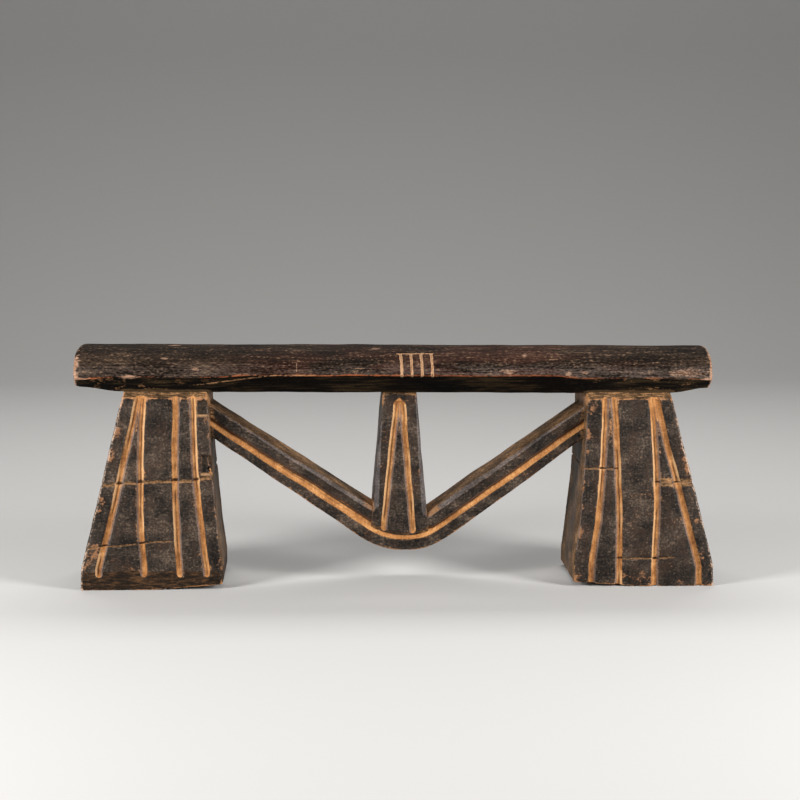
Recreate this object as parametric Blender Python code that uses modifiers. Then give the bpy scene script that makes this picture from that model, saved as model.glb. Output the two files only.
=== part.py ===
"""Carved wooden headrest: a convex rest bar on two splayed legs, stiffened by a V brace and a centre post.

The real headrest is cut from one billet. Here each carved member is its own solid, and the members meet
face to face with a hair's gap. Metres, +Z up, +X along the bar, -Y is the front.
"""

import math

import bmesh
import bpy
from mathutils import Matrix, Vector

# Rest bar
BAR_LENGTH = 0.400
BAR_DEPTH = 0.074
CREST_HEIGHT = 0.1515
CREST_FALL = 0.0025
CROWN_FULLNESS = 2.6
END_THICKNESS = 0.0244
END_ARRIS_DROP = 0.0183
END_FLAT_DEPTH = 0.052
LEFT_END_ROUNDING = 0.004
RIGHT_END_ROUNDING = 0.0016
RIGHT_END_SKEW = 0.031
END_SIDE_SHARE = 1 / 3
SEAT_THICKNESS = 0.0273
SEAT_ARRIS_DROP = 0.0170
WAIST_THICKNESS = 0.0280
WAIST_ARRIS_DROP = 0.0158
WAIST_MARGIN = 0.002
ROOT_FLARE = 0.024

# Legs
BASE_OFFSET = 0.0027
LEG_INSET = 0.02715
LEG_TOP_WIDTH = 0.054
LEG_TOP_DEPTH = 0.066
SHOULDER_DROP = 0.0033
SHOULDER_INSET = 0.0045
FOOT_SPLAY = 0.0268
FOOT_WIDTH = 0.089
FOOT_DEPTH = 0.077
HEEL_HEIGHT = 0.013
INNER_BOW = 0.0016
LEG_ARRIS = 0.0010
SOLE_RELIEF = 0.003
SOLE_FLAT_WIDTH = 0.046

# V brace
BRACE_THICKNESS = 0.040
KNEE_OFFSET = 0.0045
KNEE_CLEARANCE = 0.0206
KNEE_RADIUS = 0.0485
ARM_WIDTH_AT_KNEE = 0.0193
ARM_HEIGHT_AT_LEG = 0.0208
ARM_DROP = 0.0075
ARM_ARRIS = 0.0018

# Centre post
POST_OFFSET = 0.0013
POST_TOP_WIDTH = 0.0215
POST_FLARE = 0.089
POST_ARRIS = 0.0015

# Gouged flutes
FLUTE_WIDTH = 0.0047
FLUTE_DEPTH = 0.0019
FLUTE_END_HEIGHT = 0.010
BRACE_FLUTE_INSET = 0.0092
BRACE_FLUTE_SHARE = 0.53
POST_FLUTE_START = 0.008
# Each post flute: its distance to the right of the post's middle, at the top and at the foot
POST_FLUTES = ((-0.0019, -0.0106), (0.0015, 0.0086))
# Each leg flute: its share of the way across the face from the outer edge, at the top and at the foot
LEFT_LEG_FLUTES = ((0.195, 0.128), (0.246, 0.445), (0.63, 0.70), (0.815, 0.885))
RIGHT_LEG_FLUTES = ((0.195, 0.110), (0.238, 0.420), (0.685, 0.680), (0.780, 0.872))

# Each step of a flute's rounded end: how far on it lies and how wide it is, in gouge radii
FLUTE_ROUND_END = ((0.6, 0.8), (0.95, 0.3))

# Hair's gap between members, and how far a cutter reaches past what it cuts
SEAM_GAP = 0.0003
CUTTER_REACH = 0.006

# Fineness of the curves
CROWN_STEPS = 22
FLARE_STEPS = 6
ROUNDING_STEPS = 4
ARC_STEPS = 10
LEG_STEPS = 6
ARRIS_SEGMENTS = 2
GOUGE_RESOLUTION = 3
WELD_DISTANCE = 1e-6
FLAT_ANGLE = 1e-4
MATCH_DISTANCE = 3e-5
SHARP_ANGLE = math.radians(32)

FRONT_AND_BACK = (-1, 1)
LEFT, RIGHT = -1, 1

# Places that follow from the sizes
FLUTE_RADIUS = (FLUTE_WIDTH ** 2 / 4 + FLUTE_DEPTH ** 2) / (2 * FLUTE_DEPTH)
FLUTE_LIFT = FLUTE_RADIUS - FLUTE_DEPTH
LEG_TOP_REACH = BAR_LENGTH / 2 - LEG_INSET
FOOT_REACH = LEG_TOP_REACH + FOOT_SPLAY
BAR_CENTRE = (BAR_LENGTH / 2 - FOOT_REACH - BASE_OFFSET) / 2
BASE_CENTRE = BAR_CENTRE + BASE_OFFSET
POST_X = BASE_CENTRE + POST_OFFSET
KNEE_CENTRE = Vector((BASE_CENTRE + KNEE_OFFSET, KNEE_CLEARANCE + KNEE_RADIUS))
BRACE_FLUTE_RADIUS = KNEE_RADIUS - BRACE_FLUTE_INSET

# Each bar section: thickness, drop from the crest to the front arris, half depth of the flat underside
END_SECTION = (END_THICKNESS, END_ARRIS_DROP, END_FLAT_DEPTH / 2)
SEAT_SECTION = (SEAT_THICKNESS, SEAT_ARRIS_DROP, LEG_TOP_DEPTH / 2 - SHOULDER_INSET)
WAIST_SECTION = (WAIST_THICKNESS, WAIST_ARRIS_DROP, BRACE_THICKNESS / 2 + WAIST_MARGIN)


def crest_height(x):
    """Height of the bar's crest, which falls a little from the left end to the right one."""
    share = (x - BAR_CENTRE) / BAR_LENGTH + 0.5
    return CREST_HEIGHT - CREST_FALL * share


def underside_at_leg(x):
    """Height of the bar's underside over a leg."""
    return crest_height(x) - SEAT_THICKNESS


def underside_at_waist(x):
    """Height of the bar's underside between the legs."""
    return crest_height(x) - WAIST_THICKNESS


def shoulder_height(side):
    """Height of a leg's shoulder, where its face stops and a bevel runs back under the bar."""
    return underside_at_leg(BASE_CENTRE + side * LEG_TOP_REACH) - SHOULDER_DROP


def leg_share(side, z):
    """How far down a leg a height is, from 0 at the shoulder and above to 1 at the heel and below."""
    top = shoulder_height(side)
    return min(1.0, max(0.0, (top - z) / (top - HEEL_HEIGHT)))


def outer_edge(side, z):
    """X of a leg's outer face, which splays down to the heel and then drops straight."""
    return BASE_CENTRE + side * (LEG_TOP_REACH + FOOT_SPLAY * leg_share(side, z))


def inner_edge(side, z):
    """X of a leg's inner face, which hollows a little between the bar and the heel."""
    share = leg_share(side, z)
    top = LEG_TOP_REACH - LEG_TOP_WIDTH
    foot = FOOT_REACH - FOOT_WIDTH
    bow = INNER_BOW * 4 * share * (1 - share)
    return BASE_CENTRE + side * (top + (foot - top) * share + bow)


def leg_half_depth(side, z):
    """Half of a leg's depth from front to back, which grows down to the heel."""
    return (LEG_TOP_DEPTH + (FOOT_DEPTH - LEG_TOP_DEPTH) * leg_share(side, z)) / 2


def tangent_below(point, radius):
    """Where a line from a point outside touches, from below, a circle about the knee's centre."""
    away = point - KNEE_CENTRE
    turn = math.copysign(math.acos(radius / away.length), -away.x)
    angle = math.atan2(away.y, away.x) + turn
    return KNEE_CENTRE + radius * Vector((math.cos(angle), math.sin(angle)))


def knee_angle(point):
    """Angle of a point about the knee's centre, measured from straight down."""
    return math.atan2(point.x - KNEE_CENTRE.x, KNEE_CENTRE.y - point.y)


def knee_arc(radius, start, end):
    """Points along a circle about the knee's centre, below it, between the angles of two points."""
    first = knee_angle(start)
    last = knee_angle(end)
    angles = [first + (last - first) * i / ARC_STEPS for i in range(ARC_STEPS + 1)]
    return [KNEE_CENTRE + radius * Vector((math.sin(a), -math.cos(a))) for a in angles]


def mitre_point(side, radius):
    """Where an arm's share of a circle about the knee's centre ends, half a gap from the knee's middle."""
    across = SEAM_GAP / 2
    return KNEE_CENTRE + Vector((side * across, -math.sqrt(radius ** 2 - across ** 2)))


def post_flank(side, z):
    """X of the post's side face, which spreads downwards."""
    return POST_X + side * (POST_TOP_WIDTH / 2 + POST_FLARE * (underside_at_waist(POST_X) - z))


def flank_on_line(side, start, end, gap):
    """Where the post's side face, or a face that gap beside it, meets the line through two points."""
    slope = (end.y - start.y) / (end.x - start.x)
    base = post_flank(side, 0.0) + side * gap
    z = (start.y + slope * (base - start.x)) / (1 + slope * side * POST_FLARE)
    return Vector((base - side * POST_FLARE * z, z))


def flank_on_arc(side, radius, gap):
    """Where the post's side face, or a face that gap beside it, meets a circle about the knee's centre."""
    high = Vector((post_flank(side, KNEE_CENTRE.y) + side * gap, KNEE_CENTRE.y))
    low = Vector((post_flank(side, 0.0) + side * gap, 0.0))
    along = (low - high).normalized()
    away = high - KNEE_CENTRE
    middle = -away.dot(along)
    reach = math.sqrt(radius ** 2 - (away + along * middle).length_squared)
    return high + along * (middle + reach)


def wood(name, colour, roughness):
    """A wood finish of one colour and roughness."""
    material = bpy.data.materials.new(name)
    material.use_nodes = True
    shader = material.node_tree.nodes["Principled BSDF"]
    shader.inputs["Base Color"].default_value = (*colour, 1.0)
    shader.inputs["Roughness"].default_value = roughness
    shader.inputs["Metallic"].default_value = 0.0
    material.diffuse_color = (*colour, 1.0)
    return material


def place(name, mesh, material, origin):
    """Add a member to the headrest at its own origin, shaded smooth except at its arrises."""
    mesh.transform(Matrix.Translation(-Vector(origin)))
    mesh.materials.append(material)
    mesh.shade_smooth()
    mesh.set_sharp_from_angle(angle=SHARP_ANGLE)
    part = bpy.data.objects.new(name, mesh)
    part.location = origin
    part.parent = root
    members.objects.link(part)
    return part


def cut(part, name, mesh):
    """Cut a shape out of a member and leave its floor in bare wood."""
    mesh.materials.append(bare_wood)
    cutter = bpy.data.objects.new(name, mesh)
    cutter.parent = root
    cutter.hide_render = True
    cutter.display_type = "WIRE"
    cutters.objects.link(cutter)
    boolean = part.modifiers.new(name, "BOOLEAN")
    boolean.operation = "DIFFERENCE"
    boolean.solver = "EXACT"
    boolean.material_mode = "TRANSFER"
    boolean.object = cutter


def loft(name, rings):
    """A closed mesh through rings of points, each ring with the same number of points."""
    shape = bmesh.new()
    loops = [[shape.verts.new(point) for point in ring] for ring in rings]
    for lower, upper in zip(loops, loops[1:]):
        for i in range(len(lower)):
            j = (i + 1) % len(lower)
            shape.faces.new((lower[i], lower[j], upper[j], upper[i]))
    shape.faces.new(loops[0])
    shape.faces.new(loops[-1])
    bmesh.ops.recalc_face_normals(shape, faces=shape.faces)
    mesh = bpy.data.meshes.new(name)
    shape.to_mesh(mesh)
    shape.free()
    return mesh


def mesh_from_curve(curve, turn):
    """The closed mesh of a curve, turned, with its caps welded and its flat faces whole."""
    maker = bpy.data.objects.new(curve.name, curve)
    members.objects.link(maker)
    graph = bpy.context.evaluated_depsgraph_get()
    mesh = bpy.data.meshes.new_from_object(maker.evaluated_get(graph))
    bpy.data.objects.remove(maker)
    shape = bmesh.new()
    shape.from_mesh(mesh)
    bmesh.ops.remove_doubles(shape, verts=shape.verts, dist=WELD_DISTANCE)
    bmesh.ops.rotate(shape, verts=shape.verts, cent=(0, 0, 0), matrix=turn)
    bmesh.ops.dissolve_limit(shape, angle_limit=FLAT_ANGLE, verts=shape.verts, edges=shape.edges)
    bmesh.ops.recalc_face_normals(shape, faces=shape.faces)
    shape.to_mesh(mesh)
    shape.free()
    return mesh


def upright_board(name, worn_paths, seam_paths):
    """A board of the brace's thickness, whose outline runs along worn edges and seams by turns."""
    outline = []
    worn_middles = []
    for worn, seam in zip(worn_paths, seam_paths):
        worn_middles += [(a + b) / 2 for a, b in zip(worn, worn[1:])]
        outline += worn + seam
    curve = bpy.data.curves.new(name, "CURVE")
    curve.dimensions = "2D"
    curve.fill_mode = "BOTH"
    curve.extrude = BRACE_THICKNESS / 2
    spline = curve.splines.new("POLY")
    spline.points.add(len(outline) - 1)
    for knot, point in zip(spline.points, outline):
        knot.co = (point.x, point.y, 0.0, 1.0)
    spline.use_cyclic_u = True
    mesh = mesh_from_curve(curve, Matrix.Rotation(math.pi / 2, 3, "X"))
    weights = mesh.attributes.new("bevel_weight_edge", "FLOAT", "EDGE")
    for edge in mesh.edges:
        start, end = (mesh.vertices[i].co for i in edge.vertices)
        middle = ((start + end) / 2).xz
        on_one_face = abs(start.y - end.y) < BRACE_THICKNESS / 2
        if on_one_face and any((middle - worn).length < MATCH_DISTANCE for worn in worn_middles):
            weights.data[edge.index].value = 1.0
    return mesh


def wear_arrises(part, width):
    """Round the arrises of a board that are open to the hand."""
    bevel = part.modifiers.new("worn_arrises", "BEVEL")
    bevel.limit_method = "WEIGHT"
    bevel.width = width
    bevel.segments = ARRIS_SEGMENTS


def gouge(name, path, round_end):
    """The shape that a round gouge takes out along a path, with a rounded lower end if asked."""
    radii = [1.0] * len(path)
    if round_end:
        onward = (path[-1] - path[-2]).normalized() * FLUTE_RADIUS
        path = path + [path[-1] + onward * on for on, width in FLUTE_ROUND_END]
        radii = radii + [width for on, width in FLUTE_ROUND_END]
    curve = bpy.data.curves.new(name, "CURVE")
    curve.dimensions = "3D"
    curve.bevel_depth = FLUTE_RADIUS
    curve.bevel_resolution = GOUGE_RESOLUTION
    curve.use_fill_caps = True
    spline = curve.splines.new("POLY")
    spline.points.add(len(path) - 1)
    for knot, point, radius in zip(spline.points, path, radii):
        knot.co = (*point, 1.0)
        knot.radius = radius
    return mesh_from_curve(curve, Matrix.Identity(3))


def bar_section(x, section, inset):
    """One ring of the rest bar: a full crown, and an underside that slopes in from the arrises."""
    thickness, drop, flat = section
    side_inset = inset * END_SIDE_SHARE
    half = BAR_DEPTH / 2 - side_inset
    arris = crest_height(x) - drop
    floor = crest_height(x) - thickness + side_inset
    ring = []
    for i in range(CROWN_STEPS + 1):
        angle = math.pi * i / CROWN_STEPS
        across = -math.copysign(abs(math.cos(angle)) ** (2 / CROWN_FULLNESS), math.cos(angle))
        up = math.sin(angle) ** (2 / CROWN_FULLNESS) if 0 < i < CROWN_STEPS else 0.0
        ring.append((x, half * across, arris + (drop - inset) * up))
    ring.append((x, flat - side_inset, floor))
    ring.append((x, side_inset - flat, floor))
    return ring


def end_rounding(radius):
    """Steps of a bar end's rounding: the distance from the end, and the inset there."""
    turns = [math.pi / 2 * i / ROUNDING_STEPS for i in range(ROUNDING_STEPS)]
    return [(radius * (1 - math.cos(a)), radius * (1 - math.sin(a))) for a in turns]


def skewed(ring):
    """A ring of the bar's right end, which was cut askew and reaches further at the back."""
    return [(x + RIGHT_END_SKEW * (y + BAR_DEPTH / 2), y, z) for x, y, z in ring]


def rest_bar():
    """The convex bar: thick over each leg, thinner at the waist and at its rounded ends."""
    left = BAR_CENTRE - BAR_LENGTH / 2
    right = BAR_CENTRE + BAR_LENGTH / 2
    inner = LEG_TOP_REACH - LEG_TOP_WIDTH
    knots = [
        (left + LEFT_END_ROUNDING, END_SECTION),
        (BASE_CENTRE - LEG_TOP_REACH, SEAT_SECTION),
        (BASE_CENTRE - inner, SEAT_SECTION),
        (BASE_CENTRE - inner + ROOT_FLARE, WAIST_SECTION),
        (BASE_CENTRE + inner - ROOT_FLARE, WAIST_SECTION),
        (BASE_CENTRE + inner, SEAT_SECTION),
        (BASE_CENTRE + LEG_TOP_REACH, SEAT_SECTION),
        (right - RIGHT_END_ROUNDING, END_SECTION),
    ]
    rings = []
    for along, inset in end_rounding(LEFT_END_ROUNDING):
        rings.append(bar_section(left + along, END_SECTION, inset))
    for (x_start, start), (x_end, end) in zip(knots, knots[1:]):
        steps = 1 if start == end else FLARE_STEPS
        for i in range(steps):
            ease = (1 - math.cos(math.pi * i / steps)) / 2
            section = [a + (b - a) * ease for a, b in zip(start, end)]
            rings.append(bar_section(x_start + (x_end - x_start) * i / steps, section, 0.0))
    rings.append(skewed(bar_section(right - RIGHT_END_ROUNDING, END_SECTION, 0.0)))
    for along, inset in reversed(end_rounding(RIGHT_END_ROUNDING)):
        rings.append(skewed(bar_section(right - along, END_SECTION, inset)))
    colour = wood("rest_bar_patina", (0.050, 0.028, 0.019), 0.42)
    origin = (BAR_CENTRE, 0.0, underside_at_waist(BAR_CENTRE))
    place("rest_bar", loft("rest_bar", rings), colour, origin)


def leg_ring(side, z, inset):
    """One ring of a leg: a rectangle with its corners taken off, drawn in at the front and back."""
    outer = outer_edge(side, z)
    inner = inner_edge(side, z)
    depth = leg_half_depth(side, z) - inset
    nick = LEG_ARRIS * side
    corners = [
        (outer - nick, -depth),
        (inner + nick, -depth),
        (inner, LEG_ARRIS - depth),
        (inner, depth - LEG_ARRIS),
        (inner + nick, depth),
        (outer - nick, depth),
        (outer, depth - LEG_ARRIS),
        (outer, LEG_ARRIS - depth),
    ]
    return [(x, y, z) for x, y in corners]


def sole_wedge(side, name):
    """A wedge that lifts the inner part of a sole, so that the leg stands on its outer part."""
    span = FOOT_WIDTH - SOLE_FLAT_WIDTH
    length = span + 2 * CUTTER_REACH
    shape = bmesh.new()
    bmesh.ops.create_cube(shape, size=1.0)
    bmesh.ops.scale(shape, verts=shape.verts, vec=(length, FOOT_DEPTH + CUTTER_REACH, CUTTER_REACH))
    bmesh.ops.translate(shape, verts=shape.verts, vec=(-side * span / 2, 0.0, -CUTTER_REACH / 2))
    slope = Matrix.Rotation(side * math.atan2(SOLE_RELIEF, span), 3, "Y")
    bmesh.ops.rotate(shape, verts=shape.verts, cent=(0, 0, 0), matrix=slope)
    split = BASE_CENTRE + side * (FOOT_REACH - SOLE_FLAT_WIDTH)
    bmesh.ops.translate(shape, verts=shape.verts, vec=(split, 0.0, 0.0))
    mesh = bpy.data.meshes.new(name)
    shape.to_mesh(mesh)
    shape.free()
    return mesh


def leg_flute_path(side, face, shares, low):
    """The middle of a leg flute, from above the leg down to a height, just off the leg's face."""
    top = shoulder_height(side)
    heights = [top + (HEEL_HEIGHT - top) * i / LEG_STEPS for i in range(LEG_STEPS + 1)]
    heights = [top + CUTTER_REACH] + heights + [low]
    path = []
    for z in heights:
        share = shares[0] + (shares[1] - shares[0]) * leg_share(side, z)
        x = outer_edge(side, z) + (inner_edge(side, z) - outer_edge(side, z)) * share
        path.append(Vector((x, face * (leg_half_depth(side, z) + FLUTE_LIFT), z)))
    return path


def leg(side, name, flutes, flutes_stop):
    """A splayed pyramid leg with four flutes on each face. They stop at the heel or run out under it."""
    top = shoulder_height(side)
    heights = [HEEL_HEIGHT + (top - HEEL_HEIGHT) * i / LEG_STEPS for i in range(LEG_STEPS + 1)]
    rings = [leg_ring(side, z, 0.0) for z in [0.0] + heights]
    seat = leg_ring(side, top, SHOULDER_INSET)
    rings.append([(x, y, underside_at_leg(x) - SEAM_GAP) for x, y, z in seat])
    colour = wood(name + "_scorched", (0.036, 0.027, 0.022), 0.50)
    origin = (BASE_CENTRE + side * (FOOT_REACH - FOOT_WIDTH / 2), 0.0, 0.0)
    part = place(name, loft(name, rings), colour, origin)
    cut(part, name + "_sole_wedge", sole_wedge(side, name + "_sole_wedge"))
    low = FLUTE_END_HEIGHT if flutes_stop else -CUTTER_REACH
    for face in FRONT_AND_BACK:
        for number, shares in enumerate(flutes, 1):
            label = f"{name}_{'front' if face < 0 else 'back'}_flute_{number}"
            cut(part, label, gouge(label, leg_flute_path(side, face, shares, low), flutes_stop))


def on_leg(side, below_drop):
    """Point on a leg's inner face, a distance below the arm's upper end, a hair's gap clear of the leg."""
    z = underside_at_leg(BASE_CENTRE + side * LEG_TOP_REACH) - ARM_DROP - below_drop
    return Vector((inner_edge(side, z) - side * SEAM_GAP, z))


def brace_flute_side(side):
    """The brace's flute on one arm: from inside the leg to where the knee's curve begins."""
    start = on_leg(side, ARM_HEIGHT_AT_LEG * BRACE_FLUTE_SHARE)
    touch = tangent_below(start, BRACE_FLUTE_RADIUS)
    return start + (start - touch).normalized() * CUTTER_REACH, touch


def brace_flute_path(face):
    """The brace's one long flute, down the left arm, round the knee and up the right arm."""
    left_start, left_touch = brace_flute_side(LEFT)
    right_start, right_touch = brace_flute_side(RIGHT)
    flat = [left_start] + knee_arc(BRACE_FLUTE_RADIUS, left_touch, right_touch) + [right_start]
    y = face * (BRACE_THICKNESS / 2 + FLUTE_LIFT)
    return [Vector((point.x, y, point.y)) for point in flat]


def cut_brace_flute(part):
    """Cut the brace's flute, front and back, out of an arm or the post."""
    for face in FRONT_AND_BACK:
        label = f"{part.name}_{'front' if face < 0 else 'back'}_brace_flute"
        cut(part, label, gouge(label, brace_flute_path(face), False))


def brace_arm(side, name):
    """One arm of the V brace, from a leg's inner face down to the middle of the knee."""
    upper_start = on_leg(side, 0.0)
    lower_start = on_leg(side, ARM_HEIGHT_AT_LEG)
    upper_touch = tangent_below(upper_start, KNEE_RADIUS - ARM_WIDTH_AT_KNEE)
    crotch = flank_on_line(side, upper_start, upper_touch, SEAM_GAP)
    seat_radius = BRACE_FLUTE_RADIUS + SEAM_GAP
    seat_corner = flank_on_arc(side, seat_radius, SEAM_GAP)
    seat = knee_arc(seat_radius, seat_corner, mitre_point(side, seat_radius))
    lower_touch = tangent_below(lower_start, KNEE_RADIUS)
    lower = knee_arc(KNEE_RADIUS, mitre_point(side, KNEE_RADIUS), lower_touch) + [lower_start]
    mesh = upright_board(name, [[upper_start, crotch], lower], [seat, []])
    colour = wood(name + "_scorched", (0.040, 0.030, 0.024), 0.48)
    part = place(name, mesh, colour, (KNEE_CENTRE.x, 0.0, KNEE_CLEARANCE))
    wear_arrises(part, ARM_ARRIS)
    cut_brace_flute(part)


def centre_post():
    """The tapered post between the bar and the knee. Its foot is round and sits in the brace's flute."""
    top_left = POST_X - POST_TOP_WIDTH / 2
    top_right = POST_X + POST_TOP_WIDTH / 2
    left_foot = flank_on_arc(LEFT, BRACE_FLUTE_RADIUS, 0.0)
    right_foot = flank_on_arc(RIGHT, BRACE_FLUTE_RADIUS, 0.0)
    crotches = []
    for side in (LEFT, RIGHT):
        start = on_leg(side, 0.0)
        touch = tangent_below(start, KNEE_RADIUS - ARM_WIDTH_AT_KNEE)
        crotches.append(flank_on_line(side, start, touch, 0.0))
    left_edge = [crotches[0], Vector((top_left, underside_at_waist(top_left) - SEAM_GAP))]
    right_edge = [Vector((top_right, underside_at_waist(top_right) - SEAM_GAP)), crotches[1]]
    foot = knee_arc(BRACE_FLUTE_RADIUS, right_foot, left_foot)
    mesh = upright_board("centre_post", [left_edge, right_edge], [[], foot])
    colour = wood("centre_post_scorched", (0.044, 0.031, 0.024), 0.48)
    part = place("centre_post", mesh, colour, (POST_X, 0.0, KNEE_CENTRE.y - BRACE_FLUTE_RADIUS))
    wear_arrises(part, POST_ARRIS)
    cut_brace_flute(part)
    high = underside_at_waist(POST_X) - POST_FLUTE_START
    low = KNEE_CENTRE.y - BRACE_FLUTE_RADIUS
    for face in FRONT_AND_BACK:
        y = face * (BRACE_THICKNESS / 2 + FLUTE_LIFT)
        for number, (top_offset, foot_offset) in enumerate(POST_FLUTES, 1):
            foot_end = Vector((POST_X + foot_offset, y, low))
            top_end = Vector((POST_X + top_offset, y, high))
            label = f"post_{'front' if face < 0 else 'back'}_flute_{number}"
            cut(part, label, gouge(label, [foot_end, top_end], True))


for old in list(bpy.data.objects):
    bpy.data.objects.remove(old, do_unlink=True)

members = bpy.data.collections.new("headrest")
cutters = bpy.data.collections.new("cutters")
bpy.context.scene.collection.children.link(members)
bpy.context.scene.collection.children.link(cutters)
root = bpy.data.objects.new("headrest_origin", None)
members.objects.link(root)
bare_wood = wood("bare_wood", (0.42, 0.21, 0.085), 0.62)

rest_bar()
leg(LEFT, "left_leg", LEFT_LEG_FLUTES, True)
leg(RIGHT, "right_leg", RIGHT_LEG_FLUTES, False)
brace_arm(LEFT, "left_brace_arm")
brace_arm(RIGHT, "right_brace_arm")
centre_post()
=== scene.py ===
import math

import bmesh
import bpy
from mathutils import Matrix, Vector
from mathutils.bvhtree import BVHTree


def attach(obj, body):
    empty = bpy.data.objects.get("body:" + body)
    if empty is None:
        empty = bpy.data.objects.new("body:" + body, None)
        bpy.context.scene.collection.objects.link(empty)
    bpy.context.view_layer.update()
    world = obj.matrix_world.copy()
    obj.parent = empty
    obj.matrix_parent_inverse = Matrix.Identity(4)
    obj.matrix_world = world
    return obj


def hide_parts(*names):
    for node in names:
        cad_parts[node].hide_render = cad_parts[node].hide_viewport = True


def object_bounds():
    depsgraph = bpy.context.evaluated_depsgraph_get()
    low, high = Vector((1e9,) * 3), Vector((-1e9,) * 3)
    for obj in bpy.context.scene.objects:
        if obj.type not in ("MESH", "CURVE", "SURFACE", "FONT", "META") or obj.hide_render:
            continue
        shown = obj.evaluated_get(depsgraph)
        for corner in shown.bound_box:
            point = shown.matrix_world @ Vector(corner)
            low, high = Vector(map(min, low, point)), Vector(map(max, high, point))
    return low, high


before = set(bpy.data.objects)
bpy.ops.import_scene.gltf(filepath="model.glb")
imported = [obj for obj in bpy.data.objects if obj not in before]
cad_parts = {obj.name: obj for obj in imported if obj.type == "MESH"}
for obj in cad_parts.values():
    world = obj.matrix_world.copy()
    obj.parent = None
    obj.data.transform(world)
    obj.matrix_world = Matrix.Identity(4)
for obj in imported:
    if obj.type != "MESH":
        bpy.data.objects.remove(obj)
cad_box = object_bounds()


# Legs
# Two splayed legs cut in one piece with the bar, of dense hardwood that was scorched black all over.
# Their flutes were gouged afterwards, down to the ochre wood. The wood has since split along its grain.
leg_voxel = 0.0005
leg_kept_share = 0.44
leg_run_on = 0.0015
run_on_taper = 0.03
widest_seam = 0.0006
smallest_butt = 2e-7
weld_distance = 1e-6
box_margin = 2e-5
flute_depth = 0.0019
flute_foot = 0.013
flute_top = 0.1217
flute_keel_depth = 0.0002
flute_chatter_depth = 0.0003
flute_burnt_share = 0.85
outer_flute_share = 1.76
rounding_steps = 2
arris_steps = 20
arris_gain = 2500.0
corner_reach = 0.004
hand_sway = 0.0018
tool_mark_depth = 0.0002
leg_chip_depth = 0.0011
leg_seed = 7.0
split_band_depth = 0.0004
split_line_depth = 0.0006
shoulder_wear = 0.35
edge_wear_share = 0.30


def join(tree, kind, sockets, **options):
    """Add a node with its options, join or set its sockets, and give the node back."""
    made = tree.nodes.new(kind)
    for option, setting in options.items():
        setattr(made, option, setting)
    for socket, given in sockets.items():
        if isinstance(given, bpy.types.NodeSocket):
            tree.links.new(given, made.inputs[socket])
        else:
            made.inputs[socket].default_value = given
    return made


def reckon(tree, operation, *terms):
    """The result of one sum on plain values."""
    return join(tree, "ShaderNodeMath", dict(enumerate(terms)), operation=operation).outputs[0]


def product(tree, *factors):
    """Values multiplied together."""
    total = factors[0]
    for factor in factors[1:]:
        total = reckon(tree, "MULTIPLY", total, factor)
    return total


def blend(tree, *weighted):
    """A sum of values, each with its weight."""
    total = 0.0
    for value, weight in weighted:
        total = reckon(tree, "MULTIPLY_ADD", value, weight, total)
    return total


def reckon_vector(tree, operation, *terms):
    """The vector result of one sum on vectors."""
    return join(tree, "ShaderNodeVectorMath", dict(enumerate(terms)), operation=operation).outputs[0]


def along(tree, first, second):
    """How far one vector reaches along another."""
    sockets = {0: first, 1: second}
    return join(tree, "ShaderNodeVectorMath", sockets, operation="DOT_PRODUCT").outputs["Value"]


def stretch(tree, vector, length):
    """A vector made longer or shorter by a value."""
    sockets = {"Vector": vector, "Scale": length}
    return join(tree, "ShaderNodeVectorMath", sockets, operation="SCALE").outputs[0]


def split(tree, vector):
    """The x, y and z of a vector."""
    return join(tree, "ShaderNodeSeparateXYZ", {"Vector": vector}).outputs


def fade(tree, value, start, end):
    """A smooth step from 0 at start to 1 at end."""
    sockets = {"Value": value, "From Min": start, "From Max": end}
    return join(tree, "ShaderNodeMapRange", sockets, interpolation_type="SMOOTHSTEP").outputs[0]


def mottle(tree, place, size, detail, seed, output="Fac"):
    """Noise from 0 to 1 whose spots have a size in metres along x, y and z."""
    scaled = reckon_vector(tree, "DIVIDE", place, size)
    sockets = {"Vector": scaled, "W": seed, "Scale": 1.0, "Detail": detail, "Roughness": 0.55}
    return join(tree, "ShaderNodeTexNoise", sockets, noise_dimensions="4D").outputs[output]


def keep(tree, geometry, name, value):
    """Store a value on a mesh's points under a name that the finish reads."""
    sockets = {"Geometry": geometry, "Name": name, "Value": value}
    return join(tree, "GeometryNodeStoreNamedAttribute", sockets).outputs[0]


def kept(tree, name):
    """A value stored on a mesh's points earlier on."""
    return join(tree, "GeometryNodeInputNamedAttribute", {"Name": name}).outputs[0]


def shift(tree, geometry, offset):
    """Move a mesh's points."""
    return join(tree, "GeometryNodeSetPosition", {"Geometry": geometry, "Offset": offset}).outputs[0]


def sink(tree, geometry, depth):
    """Move a mesh's points into the wood by a depth."""
    facing = tree.nodes.new("GeometryNodeInputNormal").outputs[0]
    return shift(tree, geometry, stretch(tree, facing, reckon(tree, "MULTIPLY", depth, -1.0)))


def average(tree, value, steps):
    """A vector averaged with its neighbours on the mesh, a number of times."""
    sockets = {"Value": value, "Iterations": steps}
    return join(tree, "GeometryNodeBlurAttribute", sockets, data_type="FLOAT_VECTOR").outputs[0]


def distance_to(tree, geometry, place, target="FACES"):
    """The distance from a place to the nearest face or edge of a mesh."""
    sockets = {"Geometry": geometry, "Sample Position": place}
    return join(tree, "GeometryNodeProximity", sockets, target_element=target).outputs["Distance"]


def new_tree(name, inputs):
    """An empty tree for a modifier, with its inputs, and the sockets that give their values."""
    tree = bpy.data.node_groups.new(name, "GeometryNodeTree")
    tree.is_modifier = True
    for label, kind in inputs:
        tree.interface.new_socket(label, in_out="INPUT", socket_type="NodeSocket" + kind)
    tree.interface.new_socket("Geometry", in_out="OUTPUT", socket_type="NodeSocketGeometry")
    return tree, tree.nodes.new("NodeGroupInput").outputs


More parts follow.
